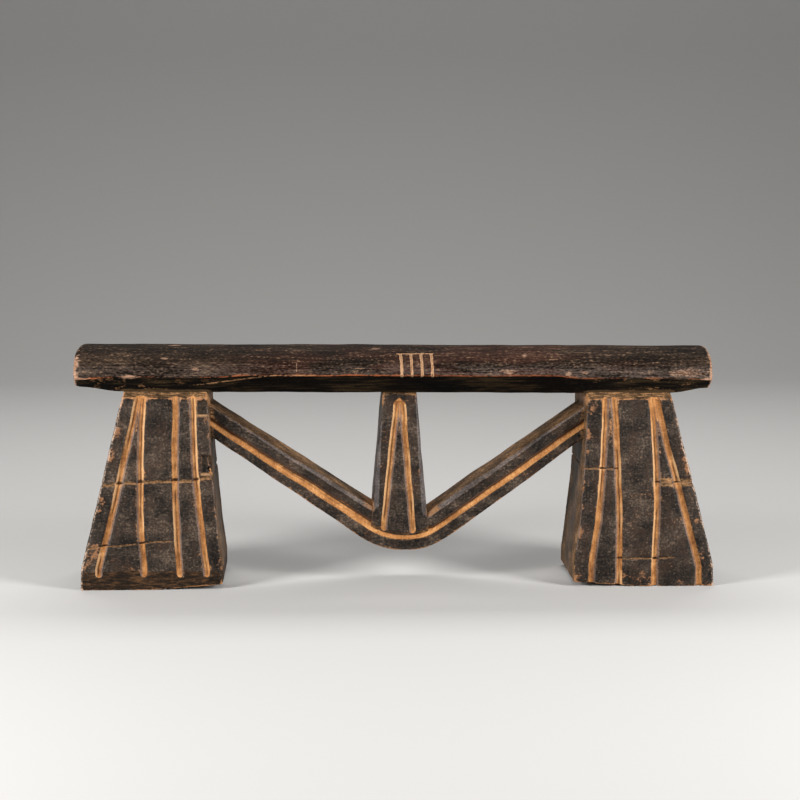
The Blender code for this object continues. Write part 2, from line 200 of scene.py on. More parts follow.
def end_tree(tree, geometry, wood):
    """Make real meshes of a tree's result, give them their wood, and hand them on."""
    geometry = join(tree, "GeometryNodeRealizeInstances", {"Geometry": geometry}).outputs[0]
    geometry = join(tree, "GeometryNodeSetMaterial", {"Geometry": geometry, "Material": wood}).outputs[0]
    join(tree, "NodeGroupOutput", {"Geometry": geometry})


def hand_carved():
    """The tree that turns a clean solid into hand-carved wood that is worn at its arrises."""
    tree, given = new_tree("hand_carved", (
        ("Geometry", "Geometry"),
        ("Rest of the headrest", "Object"),
        ("Lowest corner", "Vector"),
        ("Highest corner", "Vector"),
        ("Flute depth", "Float"),
        ("Sway", "Float"),
        ("Tool mark depth", "Float"),
        ("Chip depth", "Float"),
        ("Seed", "Float"),
        ("Wood", "Material"),
    ))
    place = tree.nodes.new("GeometryNodeInputPosition").outputs[0]
    facing = tree.nodes.new("GeometryNodeInputNormal").outputs[0]
    sockets = {"Geometry": given["Geometry"], "Position": average(tree, place, rounding_steps)}
    wood = join(tree, "GeometryNodeSetPosition", sockets).outputs[0]

    # How deep a point lies in a flute, below the front or back face that the flute was cut into. A facet
    # lies below that face too, so it is left out
    hull = join(tree, "GeometryNodeConvexHull", {"Geometry": wood}).outputs[0]
    frontal = reckon(tree, "ABSOLUTE", split(tree, facing)["Y"])
    sockets = {"Geometry": hull, "Selection": reckon(tree, "LESS_THAN", frontal, 0.8)}
    front_and_back = join(tree, "GeometryNodeDeleteGeometry", sockets, domain="FACE").outputs[0]
    depth = reckon(tree, "DIVIDE", distance_to(tree, front_and_back, place), given["Flute depth"])
    in_flute = product(
        tree,
        depth,
        fade(tree, distance_to(tree, hull, place), 0.00025, 0.0006),
        fade(tree, frontal, 0.05, 0.30),
        fade(tree, depth, 1.7, 1.4),
        reckon(tree, "SUBTRACT", 1.0, kept(tree, "facet")),
    )
    wood = keep(tree, wood, "gouged", in_flute)

    # How sharp a free arris a point lies on, and how close it is to an inner corner with another member
    sockets = {"Object": given["Rest of the headrest"]}
    rest = join(tree, "GeometryNodeObjectInfo", sockets).outputs["Geometry"]
    free = fade(tree, distance_to(tree, rest, place), 0.0004, 0.0012)
    inward = reckon_vector(tree, "SUBTRACT", average(tree, place, arris_steps), place)
    wood = keep(tree, wood, "ridge", product(tree, along(tree, inward, facing), free, -arris_gain))
    before_face = reckon_vector(tree, "ADD", place, stretch(tree, facing, corner_reach))
    wood = keep(tree, wood, "root", fade(tree, distance_to(tree, rest, before_face), corner_reach, 0.0005))

    # Tool marks along the grain, chatter in the flutes, and chips knocked off the arrises
    mark = mottle(tree, place, (0.011, 0.0035, 0.0035), 2.0, given["Seed"])
    knock = mottle(tree, place, (0.007, 0.005, 0.006), 3.0, given["Seed"])
    chatter = mottle(tree, place, (0.004, 0.010, 0.0025), 2.0, given["Seed"])
    gouged = kept(tree, "gouged")
    chip = product(tree, fade(tree, knock, 0.50, 0.66), fade(tree, kept(tree, "ridge"), 0.35, 1.0))
    wood = keep(tree, wood, "chip", chip)
    keel = fade(tree, gouged, 0.70, 1.02)
    bite = product(tree, chatter, fade(tree, gouged, 0.1, 0.6))
    wood = sink(tree, wood, blend(
        tree,
        (mark, given["Tool mark depth"]),
        (kept(tree, "chip"), given["Chip depth"]),
        (keel, flute_keel_depth),
        (bite, flute_chatter_depth),
    ))

    # Sway of the carver's hand, in one pattern for every member, and none where the feet stand
    sway = mottle(tree, place, (0.026, 0.022, 0.024), 1.0, 1.0, "Color")
    sway = reckon_vector(tree, "SUBTRACT", sway, (0.5, 0.5, 0.5))
    lifted = fade(tree, split(tree, place)["Z"], 0.0, 0.015)
    wood = shift(tree, wood, stretch(tree, sway, product(tree, lifted, given["Sway"])))
    inside = reckon_vector(tree, "MAXIMUM", place, given["Lowest corner"])
    inside = reckon_vector(tree, "MINIMUM", inside, given["Highest corner"])
    wood = join(tree, "GeometryNodeSetPosition", {"Geometry": wood, "Position": inside}).outputs[0]
    end_tree(tree, wood, given["Wood"])
    return tree


def add_tree(piece, tree, sizes):
    """Put a tree on a piece, with its inputs set through their identifiers."""
    modifier = piece.modifiers.new(tree.name, "NODES")
    modifier.node_group = tree
    for item in tree.interface.items_tree:
        if item.in_out == "INPUT" and item.name in sizes:
            modifier[item.identifier] = sizes[item.name]


def merged_shape(nodes):
    """The meshes of some CAD nodes in one, with their loose triangles welded."""
    shape = bmesh.new()
    for node in nodes:
        shape.from_mesh(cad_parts[node].data)
    bmesh.ops.remove_doubles(shape, verts=shape.verts, dist=weld_distance)
    return shape


def new_piece(name, shape):
    """A new object with a shape's mesh."""
    mesh = bpy.data.meshes.new(name)
    shape.to_mesh(mesh)
    shape.free()
    piece = bpy.data.objects.new(name, mesh)
    bpy.context.scene.collection.objects.link(piece)
    return piece


def run_on(shape, host, length):
    """Let the faces that butt on another member run on into it, tapered, because the wood is one piece."""
    host_shape = merged_shape([host])
    host_faces = BVHTree.FromBMesh(host_shape)
    moves = {}
    for face in shape.faces:
        met = host_faces.ray_cast(face.calc_center_median(), face.normal, widest_seam)
        if met[0] is not None and face.calc_area() > smallest_butt:
            for vert in face.verts:
                moves[vert] = moves.get(vert, Vector()) + face.normal * face.calc_area()
    middle = sum((vert.co for vert in moves), Vector()) / max(1, len(moves))
    for vert, move in moves.items():
        vert.co += move.normalized() * length + (middle - vert.co) * run_on_taper
    host_shape.free()


def carve(node, hosts, length, voxel, kept_share, sizes, early_trees=(), late_trees=()):
    """Carve one member: an even fine mesh of its solid, its trees in turn, then a thinner plain mesh."""
    shape = merged_shape([node])
    for host in hosts:
        run_on(shape, host, length)
    piece = new_piece(node + "_wood", shape)
    others = [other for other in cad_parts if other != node]
    rest = new_piece(node + "_surroundings", merged_shape(others))
    remesh = piece.modifiers.new("even_mesh", "REMESH")
    remesh.mode = "VOXEL"
    remesh.voxel_size = voxel
    remesh.use_smooth_shade = True
    for tree, tree_sizes in early_trees:
        add_tree(piece, tree, tree_sizes)
    common = {
        "Rest of the headrest": rest,
        "Lowest corner": [edge + box_margin for edge in cad_box[0]],
        "Highest corner": [edge - box_margin for edge in cad_box[1]],
    }
    add_tree(piece, carving, {**common, **sizes})
    for tree, tree_sizes in late_trees:
        add_tree(piece, tree, tree_sizes)
    thin = piece.modifiers.new("thin", "DECIMATE")
    thin.ratio = kept_share
    graph = bpy.context.evaluated_depsgraph_get()
    mesh = bpy.data.meshes.new_from_object(
        piece.evaluated_get(graph), preserve_all_data_layers=True, depsgraph=graph,
    )
    piece.modifiers.clear()
    piece.data = mesh
    bpy.data.objects.remove(rest)
    return piece


def layer(tree, below, above, share):
    """One colour laid over another where share is 1."""
    return join(tree, "ShaderNodeMix", {0: share, 6: below, 7: above}, data_type="RGBA").outputs[2]


def ramp(tree, value, *stops):
    """A colour for each value, through stops of place and colour."""
    made = join(tree, "ShaderNodeValToRGB", {"Fac": value})
    elements = made.color_ramp.elements
    while len(elements) < len(stops):
        elements.new(0.5)
    for element, (position, colour) in zip(elements, stops):
        element.position = position
        element.color = (*colour, 1.0)
    return made.outputs["Color"]


def read(tree, name):
    """A value that the carving left on the mesh."""
    return join(tree, "ShaderNodeAttribute", {}, attribute_name=name).outputs["Fac"]


def crack_lines(tree, place, crack):
    """How near a point is to a split along the grain: its worn band, and its open line."""
    height, tilt, start, end, band = crack
    end_taper = 0.005
    most_wander = 0.004
    x, y, z = split(tree, place)
    wander = mottle(tree, place, (0.012, 0.012, 0.2), 3.0, height * 1000)
    sheet = blend(tree, (x, tilt), (wander, most_wander), (z, -1.0))
    off = reckon(tree, "ABSOLUTE", reckon(tree, "ADD", sheet, height - most_wander / 2))
    ends = product(tree, fade(tree, x, start, start + end_taper), fade(tree, x, end, end - end_taper))
    near_face = fade(tree, reckon(tree, "ABSOLUTE", y), 0.022, 0.034)
    worn = product(tree, fade(tree, off, band, band * 0.3), ends, near_face)
    line = product(tree, fade(tree, off, 0.0005, 0.0002), ends)
    return worn, line


def grain_splits(name, cracks):
    """The tree that opens splits along the grain, each a sunk band with an open line in it."""
    tree, given = new_tree(name, (
        ("Geometry", "Geometry"), ("Band depth", "Float"), ("Line depth", "Float"), ("Wood", "Material"),
    ))
    place = tree.nodes.new("GeometryNodeInputPosition").outputs[0]
    sunk = 0.0
    for crack in cracks:
        worn, line = crack_lines(tree, place, crack)
        here = blend(tree, (worn, given["Band depth"]), (line, given["Line depth"]))
        sunk = reckon(tree, "MAXIMUM", here, sunk)
    end_tree(tree, sink(tree, given["Geometry"], sunk), given["Wood"])
    return tree


def knocked_block():
    """The tree that breaks a shallow, ragged block of wood out of a front face."""
    tree, given = new_tree("knocked_block", (
        ("Geometry", "Geometry"),
        ("Middle", "Vector"),
        ("Half width", "Float"),
        ("Half height", "Float"),
        ("Depth", "Float"),
        ("Wood", "Material"),
    ))
    place = tree.nodes.new("GeometryNodeInputPosition").outputs[0]
    x, y, z = split(tree, reckon_vector(tree, "SUBTRACT", place, given["Middle"]))
    ragged = mottle(tree, place, (0.003, 0.003, 0.003), 2.0, 21.0)
    across = reckon(tree, "DIVIDE", reckon(tree, "ABSOLUTE", x), given["Half width"])
    upright = reckon(tree, "DIVIDE", reckon(tree, "ABSOLUTE", z), given["Half height"])
    edge = blend(tree, (reckon(tree, "MAXIMUM", across, upright), 1.0), (ragged, 0.5))
    at_front = fade(tree, y, 0.012, 0.008)
    here = product(tree, fade(tree, edge, 1.28, 1.05), at_front)
    above_lip = reckon(tree, "ADD", reckon(tree, "DIVIDE", z, given["Half height"]), 1.05)
    lip = product(
        tree,
        fade(tree, reckon(tree, "ABSOLUTE", above_lip), 0.20, 0.06),
        fade(tree, across, 1.25, 0.95),
        at_front,
    )
    wood = keep(tree, given["Geometry"], "lip", reckon(tree, "MAXIMUM", kept(tree, "lip"), lip))
    wood = keep(tree, wood, "knocked", reckon(tree, "MAXIMUM", kept(tree, "knocked"), here))
    deep = reckon(tree, "MULTIPLY_ADD", ragged, 1.2, 0.2)
    end_tree(tree, sink(tree, wood, product(tree, here, deep, given["Depth"])), given["Wood"])
    return tree


def scorched_wood(name, flute_pairs, burnt_share, cracks=(), inner_side=0.0, heel_height=0.0, tip=0.0):
    """Scorched hardwood with a black-brown skin, gouged and worn through to the ochre wood below.

    The inner side is 1 for the leg whose inner side faces +X, -1 for the other leg, and 0 for the brace.
    """
    red_brown = (0.034, 0.019, 0.012, 1.0)
    fleck_tan = (0.150, 0.098, 0.060, 1.0)
    scratch_tan = (0.120, 0.084, 0.058, 1.0)
    smudge_brown = (0.230, 0.108, 0.050, 1.0)
    worn_orange = (0.360, 0.170, 0.072, 1.0)
    edge_orange = (0.270, 0.126, 0.058, 1.0)
    pale_wear_and_highlight = (0.470, 0.335, 0.245, 1.0)
    scraped_orange = (0.330, 0.160, 0.064, 1.0)
    split_brown = (0.190, 0.098, 0.044, 1.0)
    lip_tan = (0.300, 0.170, 0.085, 1.0)
    painted_shade_brown = (0.040, 0.017, 0.008, 1.0)
    burnt_brown = (0.050, 0.020, 0.008, 1.0)
    lit_wall_ochre = (0.640, 0.400, 0.205, 1.0)
    material = bpy.data.materials.new(name)
    material.use_nodes = True
    tree = material.node_tree
    shader = tree.nodes["Principled BSDF"]
    shader.inputs["Specular IOR Level"].default_value = 0.14
    place = tree.nodes.new("ShaderNodeTexCoord").outputs["Object"]
    facing = split(tree, tree.nodes.new("ShaderNodeNewGeometry").outputs["Normal"])
    x, y, z = split(tree, place)
    blotch = mottle(tree, place, (0.020, 0.020, 0.014), 3.0, 1.0)
    fibre = mottle(tree, place, (0.0050, 0.0010, 0.0009), 3.0, 2.0)
    scrape = mottle(tree, place, (0.0009, 0.0009, 0.0060), 3.0, 3.0)
    grain = mottle(tree, place, (0.0014, 0.0012, 0.0011), 3.0, 4.0)
    patch = mottle(tree, place, (0.010, 0.008, 0.008), 4.0, 6.0)
    trail = mottle(tree, place, (0.009, 0.020, 0.045), 2.0, 7.0)

    # Scorched skin: black-brown and pitted, redder in places, with fine tan flecks, scratches and rubbed
    # brown spots
    tone = blend(tree, (blotch, 0.39), (grain, 0.34), (fibre, 0.13), (scrape, 0.14))
    colour = ramp(
        tree, tone,
        (0.39, (0.0034, 0.0025, 0.0019)),
        (0.47, (0.0145, 0.0104, 0.0078)),
        (0.54, (0.0400, 0.0284, 0.0205)),
        (0.62, (0.1000, 0.0700, 0.0490)),
    )
    redder = fade(tree, blend(tree, (patch, 0.5), (trail, 0.5)), 0.48, 0.60)
    colour = layer(tree, colour, red_brown, product(tree, redder, 0.5))
    fleck = fade(tree, blend(tree, (fibre, 0.30), (grain, 0.70)), 0.57, 0.67)
    colour = layer(tree, colour, fleck_tan, product(tree, fleck, 0.5))
    bend = mottle(tree, place, (0.008, 0.008, 0.008), 2.0, 8.0, "Color")
    bent = reckon_vector(tree, "ADD", place, stretch(tree, bend, 0.012))
    cells = join(tree, "ShaderNodeTexVoronoi", {"Vector": bent, "Scale": 90.0}, feature="DISTANCE_TO_EDGE")
    scratch = product(
        tree,
        fade(tree, cells.outputs["Distance"], 0.050, 0.020),
        fade(tree, blotch, 0.50, 0.60),
        fade(tree, grain, 0.42, 0.58),
    )
    colour = layer(tree, colour, scratch_tan, product(tree, scratch, 0.45))
    low = fade(tree, z, 0.018, 0.004)
    smudge = fade(tree, blend(tree, (patch, 0.6), (grain, 0.5), (low, 0.07)), 0.66, 0.77)
    colour = layer(tree, colour, smudge_brown, product(tree, smudge, 0.7))
    dirt = ramp(
        tree, blend(tree, (tone, 0.5), (fibre, 0.3), (patch, 0.2)),
        (0.42, (0.016, 0.009, 0.0045)),
        (0.50, (0.105, 0.056, 0.024)),
        (0.60, (0.420, 0.220, 0.095)),
    )

    # Dust in the inner corners, on what faces up, and on the sides of the legs that face each other
    sheltered = product(
        tree,
        fade(tree, product(tree, facing["X"], inner_side), 0.55, 0.95),
        reckon(tree, "MULTIPLY_ADD", fade(tree, reckon(tree, "ABSOLUTE", y), 0.005, 0.035), 0.6, 0.35),
    )
    corner = fade(tree, blend(tree, (patch, 0.9), (read(tree, "root"), 0.9)), 0.60, 1.15)
    upward = fade(tree, facing["Z"], 0.3, 0.7)
    dusty = reckon(tree, "MAXIMUM", reckon(tree, "MAXIMUM", sheltered, corner), upward)
    colour = layer(tree, colour, dirt, product(tree, dusty, 0.85))
    heel = fade(tree, blend(tree, (z, -1.0), (patch, 0.004)), 0.0015 - heel_height, 0.0025 - heel_height)
    heel_colour = ramp(
        tree, blend(tree, (fibre, 0.6), (tone, 0.4)),
        (0.40, (0.0055, 0.0034, 0.0021)),
        (0.50, (0.0180, 0.0096, 0.0047)),
        (0.62, (0.0780, 0.0370, 0.0150)),
    )
    colour = layer(tree, colour, heel_colour, heel)

    # Where a point lies between the flutes, and which wall of a flute it is on: above 0 on the wall
    # beside the other flute of its pair
    foot_middle, top_middle, foot_spread, top_spread = flute_pairs
    level = reckon(tree, "DIVIDE", reckon(tree, "SUBTRACT", z, flute_foot), flute_top - flute_foot)
    aside = reckon(tree, "SUBTRACT", x, blend(tree, (level, top_middle - foot_middle), (foot_middle, 1.0)))
    spread = blend(tree, (level, top_spread - foot_spread), (foot_spread, 1.0))
    from_pair = reckon(tree, "SUBTRACT", aside, product(tree, reckon(tree, "SIGN", aside), spread))
    wall = product(tree, reckon(tree, "SIGN", from_pair), facing["X"])

    # Arrises worn to orange wood, rubbed pale with a painted highlight on the outer side of each leg, and a
    # painted grey sheen on the pared facets
    ridge = read(tree, "ridge")
    shoulder = fade(tree, z, flute_top - 0.012, flute_top)
    wear = blend(tree, (patch, 1.6), (ridge, 0.8), (grain, 1.0), (shoulder, shoulder_wear), (low, 0.10))
    worn_through = product(tree, fade(tree, wear, 1.90, 2.35), 0.8)
    colour = layer(tree, colour, worn_orange, worn_through)
    past_flutes = blend(tree, (reckon(tree, "ABSOLUTE", aside), 1.0), (spread, -outer_flute_share))
    edge_zone = reckon(tree, "MAXIMUM", fade(tree, past_flutes, -0.004, 0.001), product(tree, low, 0.8))
    edge_rub = blend(tree, (patch, 2.0), (grain, 0.5), (edge_zone, edge_wear_share * abs(inner_side)))
    edge_wear = product(
        tree,
        fade(tree, edge_rub, 1.60, 1.73),
        edge_zone,
        reckon(tree, "SUBTRACT", 1.0, heel),
        fade(tree, reckon(tree, "ABSOLUTE", facing["Y"]), 0.5, 0.8),
        0.7 * abs(inner_side),
    )
    colour = layer(tree, colour, edge_orange, edge_wear)
    # Partly real wear and partly painted highlight: arrises on the outer side of each leg are laid pale
    outer = product(
        tree,
        fade(tree, product(tree, facing["X"], -inner_side), 0.15, 0.45),
        fade(tree, past_flutes, 0.0, 0.001),
    )
    rubbed = fade(tree, blend(tree, (ridge, 1.0), (patch, 1.2), (grain, 1.2)), 1.80, 2.20)
    colour = layer(tree, colour, pale_wear_and_highlight, product(tree, rubbed, outer, 0.8))
    # Painted sheen: the pared facets are laid grey, as if catching the lamps
    facet_sheen = fade(tree, blend(tree, (read(tree, "facet"), 1.0), (patch, 0.5), (grain, 0.5)), 1.15, 1.45)
    painted_grey_sheen = ramp(
        tree, tone,
        (0.38, (0.028, 0.024, 0.022)),
        (0.50, (0.090, 0.075, 0.070)),
        (0.62, (0.190, 0.158, 0.145)),
    )
    colour = layer(tree, colour, painted_grey_sheen, product(tree, facet_sheen, 0.85))

    # Inner corners of the brace, scraped to bare wood by the knife that cleared them
    beside = fade(tree, reckon(tree, "ABSOLUTE", facing["Y"]), 0.75, 0.45)
    for corner_x, corner_z, reach in scraped_corners:
        off = reckon_vector(tree, "SUBTRACT", place, (corner_x, 0.0, corner_z))
        off = reckon_vector(tree, "MULTIPLY", off, (1.0 / reach, 0.0, 1.0 / reach))
        near = blend(tree, (along(tree, off, off), -0.35), (patch, 0.8), (grain, 0.8))
        bared = product(tree, fade(tree, near, 0.50, 0.80), beside, 0.75)
        colour = layer(tree, colour, scraped_orange, bared)

    # Splits along the grain, and blocks knocked out with a pale lower lip
    opened = 0.0
    for crack in cracks:
        worn, line = crack_lines(tree, place, crack)
        ragged_band = fade(tree, blend(tree, (worn, 1.0), (grain, 1.1), (patch, 0.6)), 1.25, 1.75)
        colour = layer(tree, colour, dirt, product(tree, ragged_band, 0.9))
        shown = product(tree, line, fade(tree, grain, 0.35, 0.55))
        colour = layer(tree, colour, split_brown, shown)
        opened = reckon(tree, "MAXIMUM", opened, line)
    broken = ramp(tree, tone, (0.44, (0.002, 0.0017, 0.0014)), (0.64, (0.045, 0.030, 0.018)))
    colour = layer(tree, colour, broken, product(tree, read(tree, "knocked"), 0.95))
    colour = layer(tree, colour, lip_tan, product(tree, read(tree, "lip"), 0.85))

    # Flutes: bare ochre, with painted shade under an overhanging wall, a painted grey sheen on one wall, a
    # painted highlight in pale ochre on the wall across from it, and a dark line between. The post's two
    # flutes meet in a scraped point at a height, its tip
    gouged = read(tree, "gouged")
    ragged = blend(tree, (gouged, 1.0), (grain, 0.20), (patch, 0.20))
    cut = fade(tree, ragged, 0.42, 0.60)
    inside = fade(tree, ragged, 0.24, 0.36)
    if tip:
        off_middle = reckon(tree, "ABSOLUTE", aside)
        point = blend(tree, (z, 1.0), (off_middle, 0.9), (grain, 0.002))
        pointed = fade(tree, point, tip + 0.0018, tip + 0.0004)
        scraped = product(
            tree,
            fade(tree, z, tip - 0.0050, tip - 0.0035),
            fade(tree, off_middle, 0.0042, 0.0032),
        )
        cut = product(tree, reckon(tree, "MAXIMUM", cut, scraped), pointed)
        inside = product(tree, inside, pointed, reckon(tree, "SUBTRACT", 1.0, scraped))
    bare = ramp(
        tree, blend(tree, (scrape, 0.30), (grain, 0.20), (patch, 0.50)),
        (0.38, (0.180, 0.070, 0.021)),
        (0.50, (0.350, 0.152, 0.048)),
        (0.62, (0.540, 0.275, 0.105)),
    )
    colour = layer(tree, colour, bare, cut)
    # Painted shade: flute walls that face down are laid dark brown
    painted_shade = product(tree, fade(tree, facing["Z"], 0.0, -0.35), inside, 0.9)
    colour = layer(tree, colour, painted_shade_brown, painted_shade)
    keel = product(tree, fade(tree, gouged, 0.78, 0.95), fade(tree, wall, 0.08, -0.12))
    burnt = product(tree, keel, fade(tree, trail, 0.48, 0.56), burnt_share)
    burnt = reckon(tree, "MAXIMUM", burnt, product(tree, opened, cut))
    colour = layer(tree, colour, burnt_brown, burnt)
    # Painted highlight: the wall across from it is laid pale ochre, as if lit
    lit_wall = product(tree, fade(tree, wall, -0.40, -0.70), inside, fade(tree, trail, 0.46, 0.58))
    colour = layer(tree, colour, lit_wall_ochre, product(tree, lit_wall, 0.6))
    # Painted sheen: the wall beside the other flute of its pair is laid grey
    painted_wall_sheen = product(tree, fade(tree, wall, 0.25, 0.75), inside, 0.8)
    colour = layer(tree, colour, painted_grey_sheen, painted_wall_sheen)
    tree.links.new(colour, shader.inputs["Base Color"])

    # Scorched skin with a dull polish, dry where it is gouged or dusty
    dry = reckon(tree, "MAXIMUM", cut, dusty)
    polish = reckon(tree, "MULTIPLY_ADD", tone, 0.5, 0.22)
    rough = join(tree, "ShaderNodeMix", {0: dry, 2: polish, 3: 0.72}, data_type="FLOAT").outputs[0]
    tree.links.new(rough, shader.inputs["Roughness"])
    height = blend(tree, (tone, 0.7), (scrape, 0.3))
    rubbed_in = reckon(tree, "MULTIPLY_ADD", cut, -0.4, 0.7)
    bump = join(tree, "ShaderNodeBump", {"Strength": rubbed_in, "Distance": 0.0008, "Height": height})
    tree.links.new(bump.outputs[0], shader.inputs["Normal"])
    return material


# Each inner corner of the brace that is scraped bare: its x, its z, and how far the scraping reaches
scraped_corners = (
    (-0.0170, 0.0480, 0.0060),
    (0.0245, 0.0450, 0.0060),
    (-0.1165, 0.1180, 0.0055),
    (-0.1148, 0.1040, 0.0045),
    (0.1190, 0.1180, 0.0055),
    (0.1163, 0.1015, 0.0055),
)
# Each split: its height at x = 0, its rise along x, its two ends along x, and half the width of its band
left_cracks = (
    (0.0765, 0.055, -0.30, -0.05, 0.0018),
    (0.0430, 0.085, -0.30, -0.138, 0.0006),
)
right_cracks = (
    (0.0750, 0.000, 0.05, 0.142, 0.0006),
    (0.0660, 0.000, 0.161, 0.30, 0.0044),
    (0.0180, 0.000, 0.138, 0.178, 0.0006),
)
# Each block knocked out of the left leg beside its inner arris: its middle, half width, half height, depth
left_knocks = (
    ((-0.1188, -0.035, 0.0790), 0.0034, 0.0060, 0.0024),
    ((-0.1210, -0.035, 0.1145), 0.0036, 0.0046, 0.0016),
)
# The two pairs of flutes on a leg: the x of the line midway between them at the heel and at the
# shoulder, then how far each pair lies from that line at the heel and at the shoulder
left_pairs = (-0.1501, -0.1459, 0.0225, 0.0136)
right_pairs = (0.1548, 0.1487, 0.0228, 0.0139)
carving = hand_carved()
knocking = knocked_block()
for side, pairs, cracks, knocks, inner, heel_height in (
    ("left", left_pairs, left_cracks, left_knocks, 1.0, 0.012),
    ("right", right_pairs, right_cracks, (), -1.0, 0.0),
):
    leg_wood = scorched_wood(side + "_leg_wood", pairs, flute_burnt_share, cracks, inner, heel_height)
    leg_sizes = {
        "Flute depth": flute_depth,
        "Sway": hand_sway,
        "Tool mark depth": tool_mark_depth,
        "Chip depth": leg_chip_depth,
        "Seed": leg_seed,
        "Wood": leg_wood,
    }
    late_trees = [(grain_splits(side + "_leg_splits", cracks), {
        "Band depth": split_band_depth, "Line depth": split_line_depth, "Wood": leg_wood,
    })]
    for middle, half_width, half_height, depth in knocks:
        late_trees.append((knocking, {
            "Middle": middle,
            "Half width": half_width,
            "Half height": half_height,
            "Depth": depth,
            "Wood": leg_wood,
        }))
    leg = carve(
        side + "_leg", ["rest_bar"], leg_run_on, leg_voxel, leg_kept_share, leg_sizes,
        late_trees=late_trees,
    )
    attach(leg, "root")
    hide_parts(side + "_leg")


# V brace and centre post
# The two arms and the post between them, of the same billet, scorched and fluted like the legs.
# Nothing joins them: the arms run on into the legs and into each other, and the post into the bar.
brace_voxel = 0.00045
brace_kept_share = 0.7
brace_run_on = 0.0025
brace_chip_depth = 0.0009
facet_run_out = 0.004
post_flute_tip = 0.1186
no_burning = 0.0


def knife_facet():
    """The tree that pares a flat facet off a front arris down to a height, and the same off the back."""
    tree, given = new_tree("knife_facet", (
        ("Geometry", "Geometry"),
        ("Place", "Vector"),
        ("Facing", "Vector"),
        ("Lowest", "Float"),
        ("Wood", "Material"),
    ))
    place = tree.nodes.new("GeometryNodeInputPosition").outputs[0]
    x, y, z = split(tree, place)
    to_front = reckon(tree, "MULTIPLY", reckon(tree, "SIGN", y), -1.0)
    sockets = {"X": x, "Y": product(tree, y, to_front), "Z": z}
    at_front = join(tree, "ShaderNodeCombineXYZ", sockets).outputs[0]
    proud = along(tree, reckon_vector(tree, "SUBTRACT", at_front, given["Place"]), given["Facing"])
    above = fade(tree, z, given["Lowest"], reckon(tree, "ADD", given["Lowest"], facet_run_out))
    facet = product(tree, fade(tree, proud, -0.0001, 0.0002), above)
    wood = keep(tree, given["Geometry"], "facet", reckon(tree, "MAXIMUM", kept(tree, "facet"), facet))
    depth = product(tree, reckon(tree, "MAXIMUM", proud, 0.0), above)
    facet_sheen = stretch(tree, given["Facing"], reckon(tree, "MULTIPLY", depth, -1.0))
    mirror = join(tree, "ShaderNodeCombineXYZ", {"X": 1.0, "Y": to_front, "Z": 1.0}).outputs[0]
    wood = shift(tree, wood, reckon_vector(tree, "MULTIPLY", facet_sheen, mirror))
    end_tree(tree, wood, given["Wood"])
    return tree


# The post's one pair of flutes, which needs no distance from the line between them
post_pair = (0.0018, 0.0026, 0.0, 0.0)
arm_wood = scorched_wood("arm_wood", post_pair, no_burning)
post_wood = scorched_wood("post_wood", post_pair, flute_burnt_share, tip=post_flute_tip)
brace_members = {
    "left_brace_arm": (arm_wood, ["left_leg", "centre_post", "right_brace_arm"]),
    "right_brace_arm": (arm_wood, ["right_leg", "centre_post", "left_brace_arm"]),
    "centre_post": (post_wood, ["rest_bar"]),
}
# Each facet: its upper and its lower end on the front face, its lower end on the top or the side, and the
# height that it runs out at
brace_facets = {
    "left_brace_arm": [
        ((-0.1183, -0.0200, 0.1143), (-0.0159, -0.0200, 0.0464), (-0.0149, -0.0175, 0.0479), 0.0),
    ],
    "right_brace_arm": [
        ((0.1217, -0.0200, 0.1121), (0.0222, -0.0200, 0.0421), (0.0209, -0.0165, 0.0439), 0.0),
    ],
    "centre_post": [
        ((-0.0066, -0.0200, 0.1240), (-0.0107, -0.0200, 0.0480), (-0.0147, -0.0166, 0.0480), 0.0465),
        ((0.0121, -0.0200, 0.1240), (0.0173, -0.0200, 0.0440), (0.0206, -0.0170, 0.0440), 0.0425),
    ],
}
paring = knife_facet()
for node, (brace_wood, hosts) in brace_members.items():
    facet_trees = []
    for upper, lower, side, lowest in brace_facets[node]:
        facet_facing = (Vector(lower) - Vector(upper)).cross(Vector(side) - Vector(upper)).normalized()
        if facet_facing.y > 0:
            facet_facing.negate()
        facet_trees.append((paring, {
            "Place": upper, "Facing": facet_facing, "Lowest": lowest, "Wood": brace_wood,
        }))
    brace_sizes = {
        "Flute depth": flute_depth,
        "Sway": hand_sway,
        "Tool mark depth": tool_mark_depth,
        "Chip depth": brace_chip_depth,
        "Seed": leg_seed,
        "Wood": brace_wood,
    }
    member = carve(
        node, hosts, brace_run_on, brace_voxel, brace_kept_share, brace_sizes, early_trees=facet_trees,
    )
    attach(member, "root")
    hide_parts(node)


# Rest bar
# The bar that carries the head: a long convex billet of dense hardwood, dark from smoke and handling.
# A comb mark of four strokes under one line is cut into its front. Its arrises are worn red and pale.
bar_voxel = 0.00055
bar_kept_share = 0.34
bar_middle = -0.0012
bar_half_length = 0.200
reddest_place = 0.02
bar_sway = 0.0014
bar_tool_mark_depth = 0.0003
bar_chip_depth = 0.0010
bar_seed = 3.0
no_flutes = 1.0
stroke_count = 4
stroke_spacing = 0.0064
stroke_length = 0.0137
stroke_width = 0.0027
stroke_depth = 0.0009
stroke_lean = 0.0005
stroke_wobble = 0.0012
line_overhang = (0.0020, 0.0, 0.0)
comb_start = (0.0031, -0.060, 0.1474)


